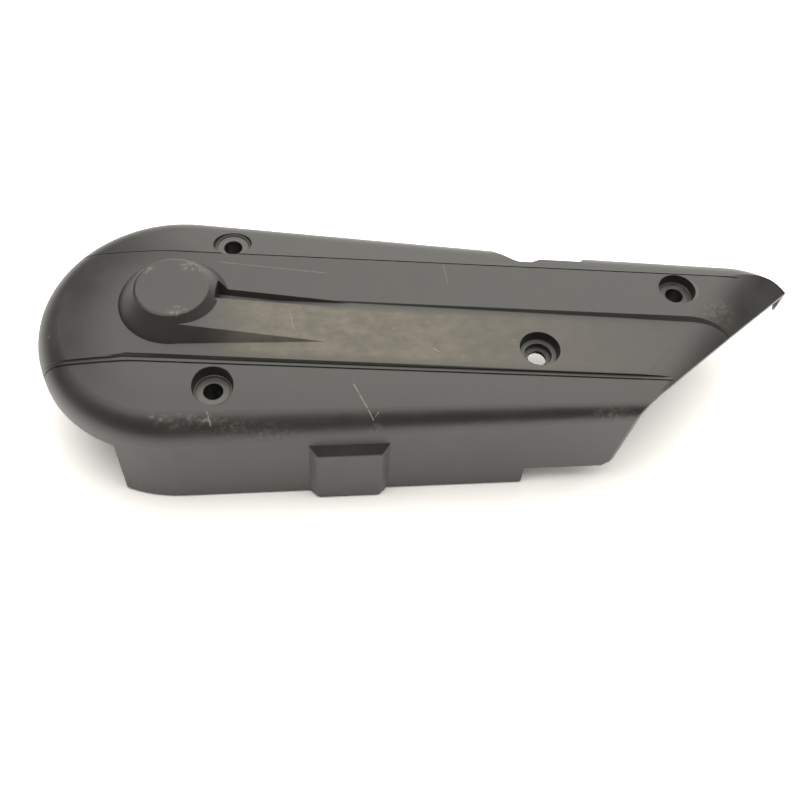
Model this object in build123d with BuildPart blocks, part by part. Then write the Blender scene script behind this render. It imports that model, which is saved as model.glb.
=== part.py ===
"""Moulded transmission cover: a long shell with a rounded end, a boss and a slanted end.

Millimetres.  While it is drawn, X runs along the cover from the boss towards the slanted end,
Y points away from the deep skirt, Z points out of the cover, and the boss axis is X = Y = 0 with
Z = 0 at the lowest edge of the skirt.  The finished part is then moved, so that its origin is the
foot of the datum screw tube, on that hole's axis.
"""
import os
from dataclasses import dataclass
from math import atan, cos, degrees, radians, sin, sqrt, tan

from build123d import *

# Overall sizes.
ROUND_R = 66.8                # radius of the rounded end, at the shoulder
BAND_Z = 63.5                 # height of the centre band over the lowest edge
END_X = 219.3                 # where the slanted end meets the near wall
CLEAR = 20.0                  # how far the cutting bodies reach past the cover

# Wall and plan outline.
WALL = 2.5                    # wall thickness of the moulding
DRAFT = tan(radians(3.5))     # side walls lean out by this much per millimetre downwards
ROUND_Y = -2.5                # centre of the rounded end, on the boss's own X
SHOULDER_Z = BAND_Z - 20.5    # height at which the side wall starts to turn over
SHOULDER_RISE = {-1: 0.039, 1: 0.0055}   # the shoulder climbs along the near and the far wall
NEAR_ANGLE = 4.88             # near wall against X, tangent to the rounded end
FAR_ANGLE = 3.9               # far wall against X, tangent to the rounded end
FAR_END_ANGLE = 1.4           # far wall against X past the cut-out
MID_X = END_X - 15.3          # where the far wall changes direction
TIP_X = END_X + 58.2          # the far wall turns around this point into the tip
PAST_X = TIP_X + ROUND_R + CLEAR

# Lower edges.
SKIRT_X = (-22.0, END_X - 46.0)   # the deep skirt runs between these
SKIRT_Y = -30.0               # everything past this has the high rim
RIM_Z = 36.0                  # lower edge away from the skirt
STEP_Z = 12.0                 # lower edge of the near wall past the deep skirt
CORNER_X = END_X - 3.7        # end of that edge, with a chamfer of CORNER
CORNER = 3.0
TONGUE = (0.8, 1.6)           # locating tongue along the lower edge: step in, height
NOTCH = (END_X + 88.4, 3.0, 3.0)   # notch in the far rim: start in X, width, height

# Lanes of the top surface.
RISER_FALL = 1.7              # near lane below the centre band
RISER_RUN = 1.4               # width of the slope from the band to the near lane
BAND_NEAR = (-31.4, 0.0095)   # near edge of the band at X = 0, and its slope in plan
STRIP_LOW = SHOULDER_Z + 6.0  # on the rounded end the raised strip runs into the core here
NEAR_GROOVE = (3.3, 0.7, 0.7)     # distance from the band's near edge, width, depth
FAR_GROOVE = (31.6, 0.6, 1.0)     # Y, width, depth
LANE_FALL = 1.9               # fall of the sunken lane over LANE_RUN
LANE_RUN = 240.0
STEP_Y = 4.4                  # top edge of the step between the upper and the sunken lane

# Boss and spine; heights and depths are from the band.
BOSS_TOP_R = 17.0
BOSS_FOOT_R = 26.0
BOSS_HEIGHT = 10.5
BOSS_EDGE = 0.7               # chamfer around the boss's top
SPINE_TOP = (18.0, 5.5)       # X and height of a point on the spine's sloping top
SPINE_END_X = 73.0            # where the top runs out in the sunken lane
SPINE_NEAR = ((-4.0, -26.2), (66.0, -20.3))   # plan line at the foot of its near flank
SPINE_FAR = ((20.0, 3.6), (78.0, 2.4))        # plan line at the foot of its far flank
SPINE_LEAN = (41.0, 32.0)     # lean of the near and the far flank from the vertical
PIT_DEPTH = 3.1               # depth of the narrow valley beyond the spine
PIT_X = (20.0, 48.0, 84.0)    # its start, the end of its flat floor, and where it runs out
PIT_Y = (8.8, 3.6)            # its far wall at the start and at the end
PIT_LEAN = 25.0               # lean of that wall

# Slanted end.
END_ANGLE = 42.3              # plan direction of the slanted edge
END_LEAN = 1.5                # the end leans out as it rises
FOLD_START = 31.3             # the corner is turned down from here on, along the slanted edge
FOLD_ANGLE = 52.0             # plan direction of the fold
FOLD_SLOPE = 36.0
FOLD_R = 40.0

# Recess in the far wall: plan points from MID_X and the far wall there, and its corners' radius.
RECESS = ((-53.0, 30.0), (-53.0, 11.5), (-47.0, -5.0), (-38.5, -12.5), (-35.5, -14.1),
          (-29.0, -14.1), (-24.5, -11.2), (0.0, -11.2), (0.0, 30.0))
RECESS_R = 3.0

# Raised pad on the near wall.
PAD_X = (67.2, 105.3)
PAD_TOP_Z = SHOULDER_Z - 2.5
PAD_OUT = 4.0
PAD_ROUND = 2.2               # rounding of the edges around its face

# Screw holes.
HOLE_R = 4.5
TUBE_R = HOLE_R + WALL
FOOT_Z = RIM_Z + 4.0          # feet of the screw tubes
FLOOR = 2.2                   # floor of the middle cup, which has no tube
GUSSET = (14.0, 1.8, 6.0)     # gusset reach from the hole's axis, thickness, gap above the foot


@dataclass(frozen=True)
class Screw:
    """One screw hole with its recess; ledge and seat are (radius, depth below the band)."""

    x: float
    y: float
    rim_r: float
    ledge: tuple
    seat: tuple
    tube: bool


DATUM = Screw(23.0, -45.8, 9.6, (8.7, 7.2), (7.9, 8.1), True)
SCREWS = (
    DATUM,
    Screw(23.0, 40.9, 9.8, (8.9, 5.5), (8.0, 6.1), True),
    Screw(END_X + 28.2, 21.6, 9.3, (8.4, 4.5), (7.6, 5.1), True),
    Screw(END_X - 44.4, -18.2, 9.8, (8.9, 6.3), (6.6, 9.5), False),
)


@dataclass(frozen=True)
class Crown:
    """Cross-section of a top surface: flat, then sloping straight to the bend with the wall."""

    flat: float       # distance from the spine plane at which it starts to fall
    top: float        # height of the flat part at the rounded end
    drop: float       # fall of the flat part per millimetre along the cover
    fall: float       # slope of the rest in degrees


CORE = Crown(ROUND_R - 30.8, BAND_Z - RISER_FALL, 0.006, 15.0)
RAISED = Crown(ROUND_R - 32.8, BAND_Z, 0.0, 15.0)


def wall_distance(side, x):
    """Distance of the near (-1) or far (1) wall from the spine plane, at the shoulder's height."""
    if side > 0 and x > MID_X:
        return wall_distance(side, MID_X) - tan(radians(FAR_END_ANGLE)) * (x - MID_X)
    turn = radians(FAR_ANGLE if side > 0 else NEAR_ANGLE)
    return ROUND_R / cos(turn) - tan(turn) * x


def stations(side):
    """Section planes of one half of the long body, as (plane, X, wall distance, shoulder height).

    The first plane goes through the rounded end's axis and the point where the straight wall
    leaves the arc.
    """
    turn = radians(FAR_ANGLE if side > 0 else NEAR_ANGLE)
    out = Vector(sin(turn), side * cos(turn), 0)
    straight = Vector(0, side, 0)
    rows = [(Plane((0, ROUND_Y, 0), x_dir=out, z_dir=out.cross(Vector(0, 0, 1))), 0.0, ROUND_R,
             SHOULDER_Z)]
    for x in (MID_X, TIP_X):
        plane = Plane((x, ROUND_Y, 0), x_dir=straight, z_dir=straight.cross(Vector(0, 0, 1)))
        rows.append((plane, x, wall_distance(side, x), SHOULDER_Z + SHOULDER_RISE[side] * x))
    return rows


def section(station, crown, inset, foot):
    """Face of half a cross-section: flat middle, slope, bend and leaning wall down to foot.

    inset moves the outline inwards, for the cavity.  The bend is as wide as the shoulder's height
    asks, or as the slope leaves room for.
    """
    plane, x, wall_r, shoulder = station
    fall = radians(crown.fall)
    turn = radians(90) - fall - atan(DRAFT)

    def wall(z, depth):
        return wall_r + DRAFT * (SHOULDER_Z - z) - depth

    def corner(depth):
        flat = crown.flat - depth * tan(fall / 2)
        top = crown.top - crown.drop * x - depth
        z = (top + (flat - wall(0, depth)) * tan(fall)) / (1 - DRAFT * tan(fall))
        return flat, top, z

    reach = (corner(0)[2] - shoulder) / cos(atan(DRAFT)) - inset * tan(turn / 2)
    flat, top, corner_z = corner(inset)
    reach = min(reach, 0.92 * (wall(corner_z, inset) - flat) / cos(fall))
    radius = reach / tan(turn / 2)
    with BuildSketch(plane) as half:
        with BuildLine():
            slope = Line((flat, top), (wall(corner_z, inset) - reach * cos(fall),
                                       corner_z + reach * sin(fall)))
            bend = JernArc(start=slope @ 1, tangent=slope % 1, radius=radius,
                           arc_size=-degrees(turn))
            Polyline(bend @ 1, (wall(foot, inset), foot), (0, foot), (0, top), (flat, top))
        make_face()
    return half.sketch


def domed_body(crown, inset=0.0, foot=0.0):
    """Long body under one crown: two lofted halves, the rounded end and the turn at the tip."""
    with BuildPart() as body:
        for side in (-1, 1):
            loft([section(station, crown, inset, foot) for station in stations(side)], ruled=True)
        revolve(section(stations(1)[0], crown, inset, foot),
                axis=Axis((0, ROUND_Y, 0), (0, 0, 1)),
                revolution_arc=180 + NEAR_ANGLE + FAR_ANGLE)
        revolve(section(stations(1)[-1], crown, inset, foot),
                axis=Axis((TIP_X, ROUND_Y, 0), (0, 0, -1)), revolution_arc=90)
    return body.part


def facing(start, end, z, lean):
    """Plane of a face over a plan line at height z, with its normal to the right of the line.

    The face leans back by lean degrees from the vertical as it rises.
    """
    along = Vector(end[0] - start[0], end[1] - start[1], 0).normalized()
    normal = Vector(along.Y, -along.X, 0) * cos(radians(lean)) + Vector(0, 0, sin(radians(lean)))
    return Plane((start[0], start[1], z), x_dir=along, z_dir=normal)


def heading(point, angle):
    """Second point of a plan line through point at an angle in degrees."""
    return (point[0] + cos(radians(angle)), point[1] + sin(radians(angle)))


def sunken_floor(x):
    """Height of the sunken lane's floor."""
    return BAND_Z - LANE_FALL * x / LANE_RUN


def along_band():
    """Plane across the band's near edge, before the rounded end; its X is the distance in Y."""
    start = -ROUND_R - CLEAR
    slope = BAND_NEAR[1]
    return Plane((start, start * slope, 0), x_dir=(-slope, 1, 0), z_dir=(1, slope, 0))


def raised_strip(inset):
    """Raised strip over the core, from the near riser to the far wall."""
    low = STRIP_LOW + 1.4 * inset
    foot_z = BAND_Z - RISER_FALL - inset
    foot = BAND_NEAR[0] + inset - RISER_RUN
    over = foot + RISER_RUN / RISER_FALL * CLEAR
    far = ROUND_R + CLEAR
    with BuildPart() as strip:
        with BuildSketch(along_band()):
            with BuildLine():
                Polyline((foot, low), (foot, foot_z), (over, foot_z + CLEAR), (far, foot_z + CLEAR),
                         (far, low), close=True)
            make_face()
        extrude(amount=PAST_X + ROUND_R + CLEAR)
        add(domed_body(RAISED, inset), mode=Mode.INTERSECT)
    return strip.part


def sunken_lane(inset):
    """Wedge of air over the sunken lane, from the near riser to the step."""
    high = BAND_Z + CLEAR
    with BuildPart() as wedge:
        with BuildSketch(Plane.XZ.offset(-STEP_Y - CLEAR)):
            with BuildLine():
                Polyline((0, sunken_floor(0) - inset), (PAST_X, sunken_floor(PAST_X) - inset),
                         (PAST_X, high), (0, high), close=True)
            make_face()
        extrude(amount=STEP_Y + CLEAR + ROUND_R)
        split(bisect_by=step_face(inset), keep=Keep.TOP)
    return wedge.part


def step_face(inset):
    """Face of the step between the sunken and the upper lane."""
    return facing((0, STEP_Y), (1, STEP_Y), BAND_Z, 45).offset(-inset)


def boss(inset):
    """Truncated cone, from inside the lanes up; with an inset it is the hollow in it."""
    lean = (BOSS_FOOT_R - BOSS_TOP_R) / BOSS_HEIGHT
    sunk = PIT_DEPTH + 2 * WALL
    height = BOSS_HEIGHT - inset + sunk
    foot_r = BOSS_FOOT_R + lean * sunk - inset * sqrt(1 + lean * lean)
    with BuildPart() as cone:
        with Locations((0, 0, BAND_Z - sunk)):
            Cone(bottom_radius=foot_r, top_radius=foot_r - lean * height, height=height,
                 align=(Align.CENTER, Align.CENTER, Align.MIN))
        chamfer(cone.edges().group_by(Axis.Z)[-1], length=BOSS_EDGE)
    return cone.part


def spine(inset):
    """Ridge that runs from the boss down into the sunken lane."""
    low = BAND_Z - PIT_DEPTH - 2 * WALL
    top_x, rise = SPINE_TOP
    drop = BAND_Z + rise - sunken_floor(SPINE_END_X)
    top = Plane((top_x, 0, BAND_Z + rise), x_dir=(0, 1, 0), z_dir=(drop, 0, SPINE_END_X - top_x))
    near = facing(SPINE_NEAR[0], SPINE_NEAR[1], BAND_Z, SPINE_LEAN[0])
    far = facing(SPINE_FAR[1], SPINE_FAR[0], BAND_Z - PIT_DEPTH, SPINE_LEAN[1])
    with BuildPart() as ridge:
        with Locations((0, 0, low)):
            Box(SPINE_END_X + CLEAR, 2 * ROUND_R, CLEAR + BOSS_HEIGHT,
                align=(Align.MIN, Align.CENTER, Align.MIN))
        for plane in (top, near, far):
            split(bisect_by=plane.offset(-inset), keep=Keep.BOTTOM)
    return ridge.part


def pit(inset):
    """Air of the narrow valley between the spine and the step."""
    start, flat_end, end = PIT_X
    floor = BAND_Z - PIT_DEPTH - inset
    high = BAND_Z + CLEAR
    wall = facing((start, PIT_Y[0]), (end, PIT_Y[1]), BAND_Z, PIT_LEAN)
    with BuildPart() as valley:
        with BuildSketch(Plane.XZ.offset(-PIT_Y[0] - CLEAR)):
            with BuildLine():
                Polyline((start - inset, high), (start - inset, floor), (flat_end, floor),
                         (end, sunken_floor(end) - inset), (end, high), close=True)
            make_face()
        extrude(amount=PIT_Y[0] + CLEAR + 3.0)
        split(bisect_by=wall.offset(-inset), keep=Keep.TOP)
    return valley.part


def slanted_end():
    """Plane of the slanted end; what lies above it is cut away."""
    corner = (END_X, ROUND_Y - wall_distance(-1, END_X))
    return facing(corner, heading(corner, END_ANGLE), BAND_Z, -END_LEAN)


def turned_corner(level, inset):
    """Air over the turned-down corner, for a lane at this level: a bend, then a plane slope.

    The slope is the same plane for every level, so a higher lane bends down earlier.
    """
    turn = radians(FOLD_SLOPE)
    reach = FOLD_R * tan(turn / 2)
    edge = slanted_end()
    fold = edge.origin + edge.x_dir * FOLD_START
    setback = (level - sunken_floor(fold.X)) / tan(turn)
    along = Vector(cos(radians(FOLD_ANGLE)), sin(radians(FOLD_ANGLE)), 0)
    across = Vector(along.Y, -along.X, 0)
    start = Vector(fold.X, fold.Y, 0) - across * (setback + reach) - along * ROUND_R
    with BuildPart() as corner:
        with BuildSketch(Plane(start, x_dir=across, z_dir=-along)):
            with BuildLine():
                bend = CenterArc((0, level - FOLD_R), FOLD_R - inset, 90, -FOLD_SLOPE)
                slope = Line(bend @ 1, bend @ 1 + Vector(cos(turn), -sin(turn)) * 2 * ROUND_R)
                Polyline(slope @ 1, ((slope @ 1).X, level + CLEAR), (0, level + CLEAR), bend @ 0)
            make_face()
        extrude(amount=-4 * ROUND_R)
    return corner.part


def turned_corners(inset):
    """Air over the turned-down corner of both lanes."""
    with BuildPart() as corners:
        add(turned_corner(sunken_floor(END_X + FOLD_START), inset))
        split(bisect_by=step_face(inset), keep=Keep.TOP)
        add(turned_corner(BAND_Z, inset))
    return corners.part


def far_recess(inset):
    """Air of the recess in the far wall; with an inset, grown for the wall around it."""
    far = ROUND_Y + wall_distance(1, MID_X)
    with BuildPart() as recess:
        with BuildSketch(Plane.XY.offset(-CLEAR)) as plan:
            with BuildLine():
                Polyline(*((MID_X + x, far + y) for x, y in RECESS), close=True)
            make_face()
            fillet([v for v in plan.vertices() if v.Y < far + CLEAR], radius=RECESS_R)
            if inset:
                offset(amount=inset)
        extrude(amount=BAND_Z + 2 * CLEAR)
    return recess.part


def form(inset=0.0, foot=0.0):
    """The cover as a full body before its edges are cut; with an inset it is the cavity."""
    with BuildPart() as body:
        add(raised_strip(inset))
        add(sunken_lane(inset), mode=Mode.SUBTRACT)
        add(domed_body(CORE, inset, foot))
        add(boss(inset))
        add(pit(inset), mode=Mode.SUBTRACT)
        add(spine(inset))
        add(turned_corners(inset), mode=Mode.SUBTRACT)
        add(far_recess(inset), mode=Mode.SUBTRACT)
    return body.part


def pad(inset=0.0):
    """Raised pad on the near wall, with sides at 45 degrees; it runs off the lower edge.

    Only the outer face is rounded; with an inset it is the hollow behind the pad.
    """
    turn = radians(NEAR_ANGLE)
    lean = atan(DRAFT)
    out = Vector(sin(turn), -cos(turn), 0)
    origin = Vector(0, ROUND_Y, SHOULDER_Z) + out * ROUND_R
    wall = Plane(origin, x_dir=(cos(turn), sin(turn), 0),
                 z_dir=out * cos(lean) + Vector(0, 0, sin(lean)))
    sunk = 1.0
    side = sunk - inset * (sqrt(2) - 1)
    left, right = ((x - origin.X) / cos(turn) for x in PAD_X)
    with BuildPart() as raised:
        with BuildSketch(wall.offset(-inset - sunk)):
            with Locations(((left + right) / 2, (PAD_TOP_Z - SHOULDER_Z) / cos(lean) + side)):
                Rectangle(right - left + 2 * side, PAD_TOP_Z + CLEAR,
                          align=(Align.CENTER, Align.MAX))
        extrude(amount=PAD_OUT + sunk, taper=45)
        if not inset:
            face = raised.faces().sort_by(Axis(wall.origin, wall.z_dir))[-1]
            fillet(face.edges(), radius=PAD_ROUND)
    return raised.part


def below_edges(rise=0.0):
    """Everything under the lower edge: the deep skirt on the near side, the high rim elsewhere."""
    low = -2 * CLEAR
    start = -ROUND_R - CLEAR
    high = RIM_Z + rise
    step = STEP_Z + rise
    with BuildPart() as below:
        with BuildSketch(Plane.XZ.offset(ROUND_R + CLEAR)):
            with BuildLine():
                Polyline((start, low), (start, high), (SKIRT_X[0], high), (SKIRT_X[0], rise),
                         (SKIRT_X[1], rise), (SKIRT_X[1], step), (CORNER_X - CORNER, step),
                         (CORNER_X, step + CORNER), (PAST_X, step + CORNER), (PAST_X, low),
                         close=True)
            make_face()
        extrude(amount=-ROUND_R - CLEAR - SKIRT_Y)
        with Locations((start, SKIRT_Y, low)):
            Box(PAST_X - start, 2 * ROUND_R, high - low, align=(Align.MIN, Align.MIN, Align.MIN))
    return below.part


def tongue_step():
    """What the locating tongue along the lower edge is stepped in by."""
    with BuildPart() as step:
        add(below_edges(TONGUE[1]))
        add(domed_body(CORE, TONGUE[0], -3 * CLEAR), mode=Mode.SUBTRACT)
        add(pad(TONGUE[0]), mode=Mode.SUBTRACT)
    return step.part


def groove(plane, centre, width, crown, depth):
    """Shallow groove along a plane's normal, at this distance in its X, under one crown."""
    with BuildPart() as cut:
        with BuildSketch(plane):
            with Locations((centre, BAND_Z)):
                Rectangle(width, 2 * (BAND_Z - SHOULDER_Z))
        extrude(amount=PAST_X + ROUND_R + CLEAR)
        add(domed_body(crown, depth), mode=Mode.SUBTRACT)
    return cut.part


def grooves():
    """The groove in the near lane, beside the band, and the one along the far strip."""
    distance, width, depth = NEAR_GROOVE
    far_y, far_width, far_depth = FAR_GROOVE
    straight = Plane((-ROUND_R - CLEAR, 0, 0), x_dir=(0, 1, 0), z_dir=(1, 0, 0))
    with BuildPart() as cuts:
        add(groove(along_band(), BAND_NEAR[0] - distance, width, CORE, depth))
        add(groove(straight, far_y, far_width, RAISED, far_depth))
    return cuts.part


def cup(screw, shell):
    """Wall of a screw recess, its tube and the gussets around the tube, up to the shell."""
    ledge_z = BAND_Z - screw.ledge[1]
    seat_z = BAND_Z - screw.seat[1]
    reach, thick, gap = GUSSET
    upright = (Align.CENTER, Align.CENTER, Align.MIN)
    with BuildPart() as walls:
        with Locations((screw.x, screw.y, ledge_z - WALL)):
            Cylinder(screw.rim_r + WALL, CLEAR, align=upright)
        with Locations((screw.x, screw.y, seat_z - FLOOR)):
            Cylinder(screw.seat[0] + WALL, CLEAR, align=upright)
        if screw.tube:
            with Locations((screw.x, screw.y, FOOT_Z)):
                Cylinder(TUBE_R, BAND_Z - FOOT_Z, align=upright)
            for turn in (0, 90):
                with Locations(Location((screw.x, screw.y, FOOT_Z + gap), (0, 0, turn))):
                    Box(2 * reach, thick, CLEAR, align=upright)
        add(shell, mode=Mode.INTERSECT)
    return walls.part


def screw_recess(screw):
    """Stepped recess of a screw and its hole."""
    seat_r, seat_depth = screw.seat
    ledge_r, ledge_depth = screw.ledge
    seat_z = BAND_Z - seat_depth
    ledge_z = BAND_Z - ledge_depth
    high = BAND_Z + CLEAR
    with BuildPart() as recess:
        with BuildSketch(Plane.XZ):
            with BuildLine():
                Polyline((0, 0), (HOLE_R, 0), (HOLE_R, seat_z), (seat_r, seat_z),
                         (seat_r, ledge_z), (ledge_r, ledge_z), (screw.rim_r, ledge_z + 4),
                         (screw.rim_r, high), (0, high), close=True)
            make_face()
        revolve(axis=Axis.Z)
    return recess.part.moved(Location((screw.x, screw.y, 0)))


shell = form()
with BuildPart() as cover:
    add(shell)
    add(pad())
    add(form(WALL, -CLEAR), mode=Mode.SUBTRACT)
    add(pad(WALL), mode=Mode.SUBTRACT)
    for screw in SCREWS:
        add(cup(screw, shell))
        add(screw_recess(screw), mode=Mode.SUBTRACT)
    add(grooves(), mode=Mode.SUBTRACT)
    add(below_edges(), mode=Mode.SUBTRACT)
    add(tongue_step(), mode=Mode.SUBTRACT)
    with Locations((NOTCH[0], 0, RIM_Z - CLEAR)):
        Box(NOTCH[1], ROUND_R, NOTCH[2] + CLEAR, align=(Align.MIN, Align.MIN, Align.MIN),
            mode=Mode.SUBTRACT)
    split(bisect_by=slanted_end(), keep=Keep.BOTTOM)

cover.part = cover.part.moved(Location((-DATUM.x, -DATUM.y, -FOOT_Z)))
cover.part.label = "cover"
os.makedirs("parts", exist_ok=True)
export_step(cover.part, "parts/cover.step")
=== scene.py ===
"""Moulded transmission cover in worn black plastic, on a pale table in soft studio light.

The places of dust, worn places, painted light and marks are in millimetres, in
plan, with the cover's own origin on the axis of its datum screw hole.
"""

import logging
from dataclasses import dataclass
from enum import Enum
from math import cos, radians, sin

import bpy
from mathutils import Matrix, Vector


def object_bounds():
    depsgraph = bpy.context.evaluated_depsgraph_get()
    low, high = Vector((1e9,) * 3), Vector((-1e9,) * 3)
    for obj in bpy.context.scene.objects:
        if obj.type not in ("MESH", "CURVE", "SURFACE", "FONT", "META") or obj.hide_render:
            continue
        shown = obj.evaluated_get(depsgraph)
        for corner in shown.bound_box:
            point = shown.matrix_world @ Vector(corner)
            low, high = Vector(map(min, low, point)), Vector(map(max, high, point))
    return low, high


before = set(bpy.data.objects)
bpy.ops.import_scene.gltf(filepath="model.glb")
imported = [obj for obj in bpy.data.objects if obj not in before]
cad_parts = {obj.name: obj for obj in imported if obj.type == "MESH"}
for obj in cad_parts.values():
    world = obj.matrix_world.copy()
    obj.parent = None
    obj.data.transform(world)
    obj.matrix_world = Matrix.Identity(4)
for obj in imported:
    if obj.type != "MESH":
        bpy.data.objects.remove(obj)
CAD_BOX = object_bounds()

log = logging.getLogger("cover")

MM_PER_METRE = 1000.0
# FACES_UP also places the painted light on the screw seats, and FACES_OUT the painted light on the near
# bend.
FACES_UP = (0.35, 0.95)       # a normal's Z from where dust begins to lie to where it lies fully
FACES_OUT = (0.02, 0.40)      # the same for rubbing, which reaches further down the sides
LAMP_COLOUR = (1.0, 0.97, 0.91)
LAMP_WATTS = 4.0              # per square metre of a lamp, at a strength of 1


class Sock:
    """A shader value: Python operators on it add the matching Math nodes."""

    def __init__(self, tree: bpy.types.NodeTree, socket: bpy.types.NodeSocket) -> None:
        """Wraps one output socket.

        Args:
            tree: The node tree that the socket belongs to.
            socket: The output socket.
        """
        self.tree = tree
        self.socket = socket

    def _math(self, operation: str, *values: object) -> "Sock":
        """Adds a Math node.

        Args:
            operation: The node's operation.
            values: Its inputs, as numbers or wrapped sockets.

        Returns:
            The node's output.
        """
        graph = Graph(self.tree)
        return graph.out(graph.node("ShaderNodeMath", {"operation": operation}, dict(enumerate(values))))

    def __add__(self, other: object) -> "Sock":
        """Sum."""
        return self._math("ADD", self, other)

    def __radd__(self, other: object) -> "Sock":
        """Sum with a number on the left."""
        return self._math("ADD", other, self)

    def __sub__(self, other: object) -> "Sock":
        """Difference."""
        return self._math("SUBTRACT", self, other)

    def __rsub__(self, other: object) -> "Sock":
        """Difference with a number on the left."""
        return self._math("SUBTRACT", other, self)

    def __mul__(self, other: object) -> "Sock":
        """Product."""
        return self._math("MULTIPLY", self, other)

    def __rmul__(self, other: object) -> "Sock":
        """Product with a number on the left."""
        return self._math("MULTIPLY", other, self)

    def __truediv__(self, other: object) -> "Sock":
        """Quotient."""
        return self._math("DIVIDE", self, other)

    def __rtruediv__(self, other: object) -> "Sock":
        """Quotient with a number on the left."""
        return self._math("DIVIDE", other, self)

    def __pow__(self, other: object) -> "Sock":
        """Power."""
        return self._math("POWER", self, other)

    def __abs__(self) -> "Sock":
        """Absolute value."""
        return self._math("ABSOLUTE", self)

    def low(self, other: object) -> "Sock":
        """Smaller of the two."""
        return self._math("MINIMUM", self, other)

    def high(self, other: object) -> "Sock":
        """Larger of the two."""
        return self._math("MAXIMUM", self, other)

    def above(self, start: float, end: float) -> "Sock":
        """Smooth step that is 0 at start and 1 at end.

        Args:
            start: The value that gives 0.
            end: The value that gives 1; it may be the lower one.

        Returns:
            The step.
        """
        graph = Graph(self.tree)
        step = graph.node("ShaderNodeMapRange", {"interpolation_type": "SMOOTHSTEP"},
                          {"Value": self, "From Min": start, "From Max": end})
        return graph.out(step, "Result")


@dataclass(frozen=True)
class Graph:
    """Node tree that is filled from Python values."""

    tree: bpy.types.NodeTree

    @classmethod
    def of_material(cls, material: bpy.types.Material) -> "Graph":
        """Empties a material's node tree and wraps it.

        Args:
            material: The material.

        Returns:
            Its graph.
        """
        material.use_nodes = True
        material.node_tree.nodes.clear()
        return cls(material.node_tree)

    def node(self, kind: str, settings: dict | None = None,
             sockets: dict | None = None) -> bpy.types.Node:
        """Adds a node.

        Args:
            kind: The node's type.
            settings: Its own properties, such as a Math node's operation.
            sockets: Values or links of its inputs, by name or number.

        Returns:
            The node.
        """
        node = self.tree.nodes.new(kind)
        for name, value in (settings or {}).items():
            setattr(node, name, value)
        for name, value in (sockets or {}).items():
            slot = node.inputs[name]
            if isinstance(value, Sock):
                self.tree.links.new(value.socket, slot)
            elif slot.type == "RGBA":
                slot.default_value = (*value, 1.0)
            else:
                slot.default_value = value
        return node

    def out(self, node: bpy.types.Node, output: int | str = 0) -> Sock:
        """Wraps an output of a node."""
        return Sock(self.tree, node.outputs[output])

    def blend(self, factor: object, first: object, second: object) -> Sock:
        """Mixes two colours.

        Args:
            factor: 0 gives the first colour and 1 the second.
            first: A colour or a wrapped socket.
            second: A colour or a wrapped socket.

        Returns:
            The mixed colour.
        """
        node = self.node("ShaderNodeMix", {"data_type": "RGBA"}, {0: factor, 6: first, 7: second})
        return self.out(node, 2)

    def blend_vectors(self, factor: object, first: Sock, second: Sock) -> Sock:
        """Mixes two vectors.

        Args:
            factor: 0 gives the first vector and 1 the second.
            first: A wrapped socket.
            second: A wrapped socket.

        Returns:
            The mixed vector.
        """
        node = self.node("ShaderNodeMix", {"data_type": "VECTOR"}, {0: factor, 4: first, 5: second})
        return self.out(node, 1)

    def millimetres(self) -> Sock:
        """Object coordinates in millimetres."""
        place = self.node("ShaderNodeTexCoord")
        scaled = self.node("ShaderNodeVectorMath", {"operation": "SCALE"},
                           {0: self.out(place, "Object"), "Scale": MM_PER_METRE})
        return self.out(scaled)

    def stretched(self, vector: Sock, by: tuple[float, float, float]) -> Sock:
        """Multiplies a vector by three numbers."""
        return self.out(self.node("ShaderNodeVectorMath", {"operation": "MULTIPLY"}, {0: vector, 1: by}))

    def axes(self, vector: Sock) -> tuple[Sock, Sock, Sock]:
        """Splits a vector.

        Args:
            vector: The vector.

        Returns:
            Its X, Y and Z.
        """
        split = self.node("ShaderNodeSeparateXYZ", None, {0: vector})
        return self.out(split, 0), self.out(split, 1), self.out(split, 2)

    def surface(self, shader: bpy.types.Node) -> None:
        """Makes a shader the material's surface."""
        self.node("ShaderNodeOutputMaterial", None, {"Surface": self.out(shader)})


class Point:
    """The shaded point: its place in millimetres and the Z of its normal."""

    def __init__(self, graph: Graph) -> None:
        """Adds the nodes that give the point.

        Args:
            graph: The material's graph.
        """
        self.graph = graph
        self.place = graph.millimetres()
        self.x, self.y, self.z = graph.axes(self.place)
        normal = graph.out(graph.node("ShaderNodeTexCoord"), "Normal")
        self.tilt = graph.axes(normal)[2]


@dataclass(frozen=True)
class Pattern:
    """Noise pattern.

    cells is per millimetre, finer is the weight of the finer octaves, and cut holds the two levels
    between which a mask of the pattern rises from 0 to 1.  It is drawn out in X where along is
    under 1.
    """

    cells: float
    octaves: float
    finer: float
    cut: tuple[float, float] = (0.0, 1.0)
    along: float = 1.0

    def level(self, graph: Graph, place: Sock) -> Sock:
        """The pattern's plain level.

        Args:
            graph: The material's graph.
            place: Position in millimetres.

        Returns:
            The noise, from 0 to 1.
        """
        if self.along != 1.0:
            place = graph.stretched(place, (self.along, 1.0, 1.0))
        noise = graph.node("ShaderNodeTexNoise", {"noise_dimensions": "3D"}, {
            "Vector": place, "Scale": self.cells, "Detail": self.octaves, "Roughness": self.finer})
        return graph.out(noise, "Fac")

    def mask(self, point: Point) -> Sock:
        """The pattern's level, cut to a mask."""
        return self.level(point.graph, point.place).above(*self.cut)


@dataclass(frozen=True)
class Span:
    """Stretch along one axis with soft ends, in millimetres."""

    start: float
    full_from: float
    full_to: float
    end: float

    def mask(self, along: Sock) -> Sock:
        """1 within the full stretch, falling to 0 at start and end."""
        return along.above(self.start, self.full_from) * along.above(self.end, self.full_to)


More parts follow.
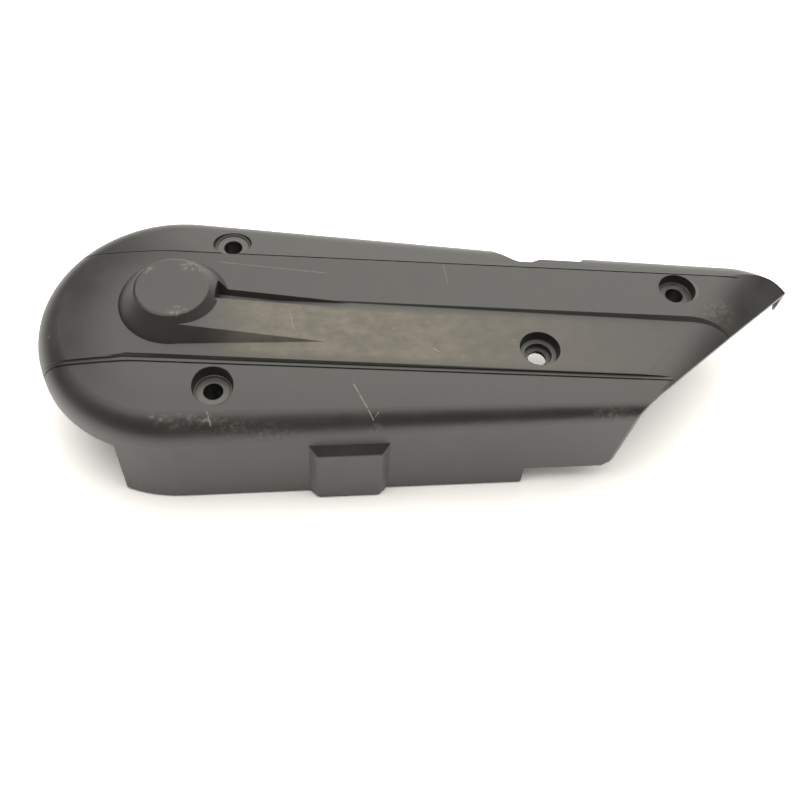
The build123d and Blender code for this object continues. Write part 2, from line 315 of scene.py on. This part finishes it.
@dataclass(frozen=True)
class Scratch:
    """Thin light line on the top of the cover, in plan, in millimetres."""

    start: tuple[float, float]
    end: tuple[float, float]
    width: float
    strength: float
    core: float = 0.3

    def mask(self, point: Point) -> Sock:
        """Strength of the scratch at the shaded point.

        Args:
            point: The shaded point.

        Returns:
            0 off the scratch, up to its strength within the core share of its width.
        """
        dx = self.end[0] - self.start[0]
        dy = self.end[1] - self.start[1]
        off_x = point.x - self.start[0]
        off_y = point.y - self.start[1]
        along = ((off_x * dx + off_y * dy) / (dx * dx + dy * dy)).high(0.0).low(1.0)
        gap_x = off_x - along * dx
        gap_y = off_y - along * dy
        gap = (gap_x * gap_x + gap_y * gap_y) ** 0.5
        return gap.above(self.width, self.core * self.width) * self.strength


@dataclass(frozen=True)
class LighterPatch:
    """Soft round lighter patch, in plan, in millimetres: worn plastic, and on the near bend also painted
    light that lifts the bend's shade.
    """

    place: tuple[float, float]
    radius: tuple[float, float]
    strength: float

    def mask(self, point: Point) -> Sock:
        """Strength of the patch at the shaded point.

        Args:
            point: The shaded point.

        Returns:
            Its strength in the middle, falling to 0.
        """
        over_x = (point.x - self.place[0]) / self.radius[0]
        over_y = (point.y - self.place[1]) / self.radius[1]
        return (over_x * over_x + over_y * over_y).above(1.0, 0.0) * self.strength


@dataclass(frozen=True)
class PaintedSeatLight:
    """Painted light on a screw hole's seat: a lighter ring, in plan, in millimetres."""

    place: tuple[float, float]
    outer: float
    strength: float
    inner: float = 4.6
    soft: float = 0.3

    def mask(self, point: Point) -> Sock:
        """Strength of the ring at the shaded point.

        Args:
            point: The shaded point.

        Returns:
            Its strength between the two radii, falling to 0 over soft inside each.
        """
        over_x = point.x - self.place[0]
        over_y = point.y - self.place[1]
        reach = (over_x * over_x + over_y * over_y) ** 0.5
        past_hole = reach.above(self.inner, self.inner + self.soft)
        return past_hole * reach.above(self.outer, self.outer - self.soft) * self.strength


def together(marks: tuple, point: Point) -> Sock:
    """Adds up the masks of some marks.

    Args:
        marks: Scratches, lighter patches or seats with painted light.
        point: The shaded point.

    Returns:
        The sum of their strengths at the point.
    """
    total = marks[0].mask(point)
    for mark in marks[1:]:
        total = total + mark.mask(point)
    return total


@dataclass(frozen=True)
class Dust:
    """Dust on what faces up: a thin film, specks, and most of it in the sunken lane."""

    colour: tuple[float, float, float] = (0.30, 0.275, 0.222)
    film: float = 0.05
    film_clouds: Pattern = Pattern(0.045, 5.0, 0.62, (0.38, 0.72))
    specks: float = 0.08
    speck_grains: Pattern = Pattern(0.55, 3.0, 0.6, (0.70, 0.82))
    lane_x: Span = Span(-10.0, 20.0, 80.0, 235.0)
    lane_y: Span = Span(12.0, 20.0, 44.0, 49.0)
    lane_z: tuple[float, float] = (19.0, 21.0)
    lane_even: float = 0.34
    lane_clouded: float = 0.28
    lane_clouds: Pattern = Pattern(0.11, 4.0, 0.65, (0.30, 0.66))
    lane_swept: float = 0.16
    lane_streaks: Pattern = Pattern(0.30, 3.0, 0.6, (0.35, 0.70), 0.35)

    def amount(self, point: Point) -> Sock:
        """How thick the dust lies.

        Args:
            point: The shaded point.

        Returns:
            0 for clean plastic; 1 would hide it.
        """
        film = self.film_clouds.mask(point) * self.film
        specks = self.speck_grains.mask(point) * self.specks
        lane = self.lane_x.mask(point.x) * self.lane_y.mask(point.y) * point.z.above(*self.lane_z)
        clouded = self.lane_clouds.mask(point) * self.lane_clouded
        swept = self.lane_streaks.mask(point) * self.lane_swept
        return (film + specks + lane * (self.lane_even + clouded + swept)) * point.tilt.above(*FACES_UP)


@dataclass(frozen=True)
class WearAndPaintedLight:
    """Worn places and painted light: thin scratches, blotched worn patches, broad patches of painted light
    on the near bend, and painted light on the screw seats.
    """

    # One lighter colour serves the worn plastic and the painted light.
    colour: tuple[float, float, float] = (0.36, 0.34, 0.30)
    most: float = 0.8
    ragged: Pattern = Pattern(0.6, 3.0, 0.6, (0.30, 0.5))
    blotches: Pattern = Pattern(0.42, 6.0, 0.75, (0.47, 0.62))
    patch_share: float = 0.5
    seat_z: tuple[float, float] = (10.0, 14.0)
    scratches: tuple[Scratch, ...] = (
        Scratch((-4.3, 71.4), (48.1, 67.4), 0.3, 0.35),
        Scratch((63.9, 4.0), (73.5, -11.5), 0.35, 0.8),
        Scratch((73.5, -11.5), (75.8, -8.6), 0.3, 0.7),
        Scratch((-1.3, -12.0), (0.7, -17.1), 0.45, 0.7),
        Scratch((106.3, 76.9), (108.5, 63.9), 0.25, 0.3),
        Scratch((32.2, 42.3), (34.9, 30.4), 0.35, 0.5),
        Scratch((100.9, 24.6), (103.4, 22.8), 0.4, 0.8),
    )
    boss_rim: tuple[LighterPatch, ...] = (
        LighterPatch((-13.0, 58.5), (9.0, 4.5), 0.9),
        LighterPatch((-36.0, 56.0), (5.0, 4.0), 0.7),
        LighterPatch((-19.0, 31.5), (7.0, 3.5), 0.9),
        LighterPatch((-39.1, 54.1), (1.2, 0.9), 1.0),
    )
    # Along the near bend: small worn marks, and broad patches of painted light that lift the bend's shade.
    near_bend_rubs_and_painted_light: tuple[LighterPatch, ...] = (
        LighterPatch((-20.9, -15.8), (3.0, 1.6), 0.6),
        LighterPatch((-18.6, -28.1), (2.6, 1.8), 0.6),
        LighterPatch((-1.1, -15.4), (2.6, 1.3), 0.7),
        LighterPatch((-8.0, -16.0), (24.0, 4.5), 0.45),
        LighterPatch((-20.0, -26.5), (6.0, 4.0), 0.75),
        LighterPatch((22.0, -17.5), (26.0, 5.0), 0.30),
        LighterPatch((-24.0, -14.5), (5.0, 1.6), 0.80),
        LighterPatch((75.0, -14.0), (4.0, 2.0), 0.50),
        LighterPatch((185.2, -5.3), (15.0, 6.0), 0.45),
    )
    elsewhere: tuple[LighterPatch, ...] = (
        LighterPatch((82.1, 35.3), (1.1, 0.8), 1.0),
        LighterPatch((139.7, 32.0), (2.0, 1.4), 0.8),
        LighterPatch((243.7, 54.6), (12.0, 10.0), 0.4),
        LighterPatch((271.4, 74.2), (0.8, 0.8), 1.0),
        LighterPatch((-61.3, 17.6), (0.9, 0.9), 0.8),
        LighterPatch((-79.7, 26.6), (1.0, 1.0), 0.8),
    )
    # Painted light on the screw seats: a lighter ring at each seat that faces up, standing in for the
    # light it catches.
    painted_seat_lights: tuple[PaintedSeatLight, ...] = (
        PaintedSeatLight((0.0, 0.0), 7.7, 0.16),
        PaintedSeatLight((0.0, 86.7), 7.8, 0.16),
        PaintedSeatLight((228.5, 67.4), 7.4, 0.12),
        PaintedSeatLight((151.9, 27.6), 8.8, 0.12),
    )

    def amount(self, point: Point, scratched: Sock) -> Sock:
        """How far the plastic is lightened, by rubbing and by painted light.

        Args:
            point: The shaded point.
            scratched: The scratches' strength there.

        Returns:
            0 for plastic that is neither worn nor painted lighter, and more the lighter it is.
        """
        # The patches include painted light on the near bend; the seat marks below are painted light.
        lighter_patches = together(self.boss_rim + self.near_bend_rubs_and_painted_light + self.elsewhere, point)
        blotched = lighter_patches * self.blotches.mask(point) * self.patch_share
        marked = (scratched * self.ragged.mask(point) + blotched) * point.tilt.above(*FACES_OUT)
        seats = point.z.above(*self.seat_z) * point.tilt.above(*FACES_UP)
        return marked + together(self.painted_seat_lights, point) * seats


@dataclass(frozen=True)
class SoftCrease:
    """Crease between the crown's flat middle and its slope, shaded as a wide bend; in millimetres.

    The crease runs round the centre of the rounded end at the radius flat and goes on straight
    from there; the near lane's lies further out.  The bend reaches to either side of it, between
    surfaces whose slopes differ by slope.
    """

    centre: tuple[float, float] = (-23.0, 43.3)
    flat: float = 34.0
    near_lane_further: float = 2.0
    reach: float = 12.0
    slope: float = 0.268
    band_near: tuple[float, float] = (13.6, 14.2)
    band_lean: float = 0.0095
    round_end: tuple[float, float] = (-12.0, -34.0)

    def depth(self, point: Point) -> Sock:
        """Depth to take off beside the crease, on the rounded end and along the near lane.

        Args:
            point: The shaded point.

        Returns:
            The depth in millimetres.
        """
        over = (point.x - self.centre[0]).low(0.0)
        side = point.y - self.centre[1]
        out = (over * over + side * side) ** 0.5
        near_lane = 1.0 - (point.y - point.x * self.band_lean).above(*self.band_near)
        off = abs(out - self.flat - near_lane * self.near_lane_further)
        left = (self.reach - off).high(0.0)
        where = near_lane.high(point.x.above(*self.round_end))
        return left * left * (self.slope / (4.0 * self.reach)) * where


@dataclass(frozen=True)
class WornPlastic:
    """Semi-matt black moulded plastic with dust, worn places, thin scratches, and painted light on the
    near bend and the screw seats.

    Lengths are in millimetres but for edge, the radius in metres to which sharp edges are shaded.
    """

    name: str = "worn_black_plastic"
    black: tuple[float, float, float] = (0.0206, 0.0204, 0.0184)
    ior: float = 1.75
    roughness: float = 0.42
    dust_matting: float = 0.8
    rub_matting: float = 0.2
    cloud_matting: float = 0.10
    clouds: Pattern = Pattern(0.045, 5.0, 0.62)
    grain: Pattern = Pattern(2.6, 2.0, 0.6)
    grain_height: float = 0.010
    wave: Pattern = Pattern(0.035, 2.0, 0.5)
    wave_height: float = 0.10
    scratch_depth: float = 0.02
    edge: float = 0.0005
    fold_x: tuple[float, float] = (200.0, 201.0)
    fold_y: tuple[float, float] = (61.0, 60.0)
    dust: Dust = Dust()
    wear_and_painted_light: WearAndPaintedLight = WearAndPaintedLight()
    crease: SoftCrease = SoftCrease()

    def build(self) -> bpy.types.Material:
        """Makes the material.

        Returns:
            The material.
        """
        material = bpy.data.materials.new(self.name)
        graph = Graph.of_material(material)
        point = Point(graph)
        dusty = self.dust.amount(point)
        scratched = together(self.wear_and_painted_light.scratches, point)
        # This amount is rubbing plus painted light on the near bend and the screw seats.
        worn_and_painted_light = self.wear_and_painted_light.amount(point, scratched)
        plastic = graph.blend(dusty.low(1.0), self.black, self.dust.colour)
        colour = graph.blend(worn_and_painted_light.low(self.wear_and_painted_light.most), plastic, self.wear_and_painted_light.colour)
        clouds = (self.clouds.level(graph, point.place) - 0.5) * self.cloud_matting
        rough = self.roughness + dusty * self.dust_matting + worn_and_painted_light * self.rub_matting + clouds
        relief = graph.node("ShaderNodeBump", None, {
            "Strength": 1.0, "Distance": 1.0 / MM_PER_METRE,
            "Height": self._height(point, scratched), "Normal": self._soft_edges(point)})
        graph.surface(graph.node("ShaderNodeBsdfPrincipled", None, {
            "Base Color": colour, "Roughness": rough, "IOR": self.ior, "Normal": graph.out(relief)}))
        return material

    def _height(self, point: Point, scratched: Sock) -> Sock:
        """Relief of the plastic's surface.

        Args:
            point: The shaded point.
            scratched: The scratches' strength there.

        Returns:
            The height in millimetres.
        """
        grain = self.grain.level(point.graph, point.place) * self.grain_height
        wave = self.wave.level(point.graph, point.place) * self.wave_height
        return grain + wave - scratched * self.scratch_depth - self.crease.depth(point)

    def _soft_edges(self, point: Point) -> Sock:
        """Normal that rounds sharp edges, but keeps the body's own in the fold at the slanted end.

        Args:
            point: The shaded point.

        Returns:
            The normal.
        """
        graph = point.graph
        rounded = graph.node("ShaderNodeBevel", {"samples": 6}, {"Radius": self.edge})
        own = graph.node("ShaderNodeNewGeometry")
        in_fold = point.x.above(*self.fold_x) * point.y.above(*self.fold_y)
        return graph.blend_vectors(in_fold, graph.out(rounded), graph.out(own, "Normal"))


@dataclass(frozen=True)
class PaleTable:
    """Matt white table top, which is seen brighter than it lights the cover."""

    name: str = "pale_table"
    white: float = 0.86
    seen: float = 1.75
    stain: tuple[float, float, float] = (0.80, 0.79, 0.76)
    stain_share: float = 0.03
    stains: Pattern = Pattern(0.004, 3.0, 0.5)
    roughness: float = 0.75
    ior: float = 1.3

    def build(self) -> bpy.types.Material:
        """Makes the material.

        Returns:
            The material.
        """
        material = bpy.data.materials.new(self.name)
        graph = Graph.of_material(material)
        path = graph.node("ShaderNodeLightPath")
        seen = (graph.out(path, "Is Camera Ray") + graph.out(path, "Is Glossy Ray")
                + graph.out(path, "Is Transmission Ray")).low(1.0)
        white = graph.blend(seen, (self.white,) * 3, (self.seen,) * 3)
        stains = self.stains.level(graph, graph.millimetres()) * self.stain_share
        colour = graph.blend(stains, white, self.stain)
        graph.surface(graph.node("ShaderNodeBsdfPrincipled", None, {
            "Base Color": colour, "Roughness": self.roughness, "IOR": self.ior}))
        return material


@dataclass
class CoverShell:
    """The moulded cover, which keeps the frame's own body and gets its finish here."""

    node: str = "cover"
    finish: WornPlastic = WornPlastic()

    def dress(self) -> bpy.types.Object:
        """Gives the body its plastic.

        Returns:
            The body.
        """
        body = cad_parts[self.node]
        plastic = self.finish.build()
        for slot in body.material_slots:
            slot.material = plastic
        return body


@dataclass
class Table:
    """Plain table at the height of the cover's lowest edge."""

    middle: tuple[float, float] = (0.1, 0.05)
    size: float = 6.0
    finish: PaleTable = PaleTable()

    def build(self) -> bpy.types.Object:
        """Makes the table top.

        Returns:
            The table top.
        """
        bpy.ops.object.select_all(action="DESELECT")
        bpy.ops.mesh.primitive_plane_add(size=self.size, location=(*self.middle, CAD_BOX[0][2]))
        table = bpy.context.object
        table.name = "table"
        bpy.ops.object.transform_apply(location=True, rotation=True, scale=True)
        table.data.materials.append(self.finish.build())
        return table


class Lamp(Enum):
    """Soft lamps: place, the point they face, width and depth, and strength."""

    CEILING = ((0.16, 0.45, 1.25), (0.16, 0.45, 0.0), (2.4, 1.8), 1.55)
    BACK = ((0.55, 1.90, 0.85), (0.35, 0.0, 0.05), (2.4, 1.3), 1.35)

    def build(self) -> bpy.types.Object:
        """Hangs the lamp.

        Returns:
            The lamp.
        """
        place, target, (width, depth), strength = self.value
        data = bpy.data.lights.new(self.name.lower(), "AREA")
        data.shape = "RECTANGLE"
        data.color = LAMP_COLOUR
        data.size = width
        data.size_y = depth
        data.energy = strength * LAMP_WATTS * width * depth
        lamp = bpy.data.objects.new(self.name.lower(), data)
        lamp.location = place
        aim = Vector(target) - Vector(place)
        lamp.rotation_mode = "QUATERNION"
        lamp.rotation_quaternion = aim.to_track_quat("-Z", "Y")
        bpy.context.scene.collection.objects.link(lamp)
        return lamp


@dataclass(frozen=True)
class Room:
    """Dim even light from the rest of the room."""

    colour: tuple[float, float, float] = (1.0, 0.99, 0.93)
    strength: float = 0.18

    def build(self) -> bpy.types.World:
        """Makes the room's light the scene's own.

        Returns:
            The world.
        """
        world = bpy.data.worlds.new("room")
        world.use_nodes = True
        world.node_tree.nodes.clear()
        graph = Graph(world.node_tree)
        light = graph.node("ShaderNodeBackground", None, {"Color": self.colour, "Strength": self.strength})
        graph.node("ShaderNodeOutputWorld", None, {"Surface": graph.out(light)})
        bpy.context.scene.world = world
        return world


@dataclass(frozen=True)
class Viewpoint:
    """Camera at the photograph's place; angles in degrees, lens and sensor in millimetres."""

    place: tuple[float, float, float] = (0.06521, -0.22903, 0.36190)
    pitch: float = 56.5
    yaw: float = 5.1
    roll: float = -6.5
    lens: float = 40.5
    sensor: float = 36.0
    nearest: float = 0.01

    def build(self) -> bpy.types.Object:
        """Makes the camera the scene's own.

        Returns:
            The camera.
        """
        pitch, yaw, roll = radians(self.pitch), radians(self.yaw), radians(self.roll)
        ahead = Vector((cos(pitch) * sin(yaw), cos(pitch) * cos(yaw), -sin(pitch)))
        level = Vector((cos(yaw), -sin(yaw), 0.0))
        down = ahead.cross(level)
        right = level * cos(roll) + down * sin(roll)
        up = level * sin(roll) - down * cos(roll)
        data = bpy.data.cameras.new("camera")
        data.sensor_fit = "HORIZONTAL"
        data.sensor_width = self.sensor
        data.lens = self.lens
        data.clip_start = self.nearest
        camera = bpy.data.objects.new("camera", data)
        camera.matrix_world = (Matrix.Translation(self.place)
                               @ Matrix((right, up, -ahead)).transposed().to_4x4())
        bpy.context.scene.collection.objects.link(camera)
        bpy.context.scene.camera = camera
        return camera


def main() -> None:
    """Builds the cover and its studio."""
    shell = CoverShell().dress()
    log.info("%s: %d faces", shell.name, len(shell.data.polygons))
    log.info("%s stands at %.3f m", Table().build().name, CAD_BOX[0][2])
    for lamp in Lamp:
        log.info("lamp %s", lamp.build().name)
    log.info("world %s", Room().build().name)
    log.info("%s placed", Viewpoint().build().name)
    bpy.context.scene.view_settings.view_transform = "Standard"


if __name__ == "__main__":
    logging.basicConfig(level=logging.INFO)
    main()
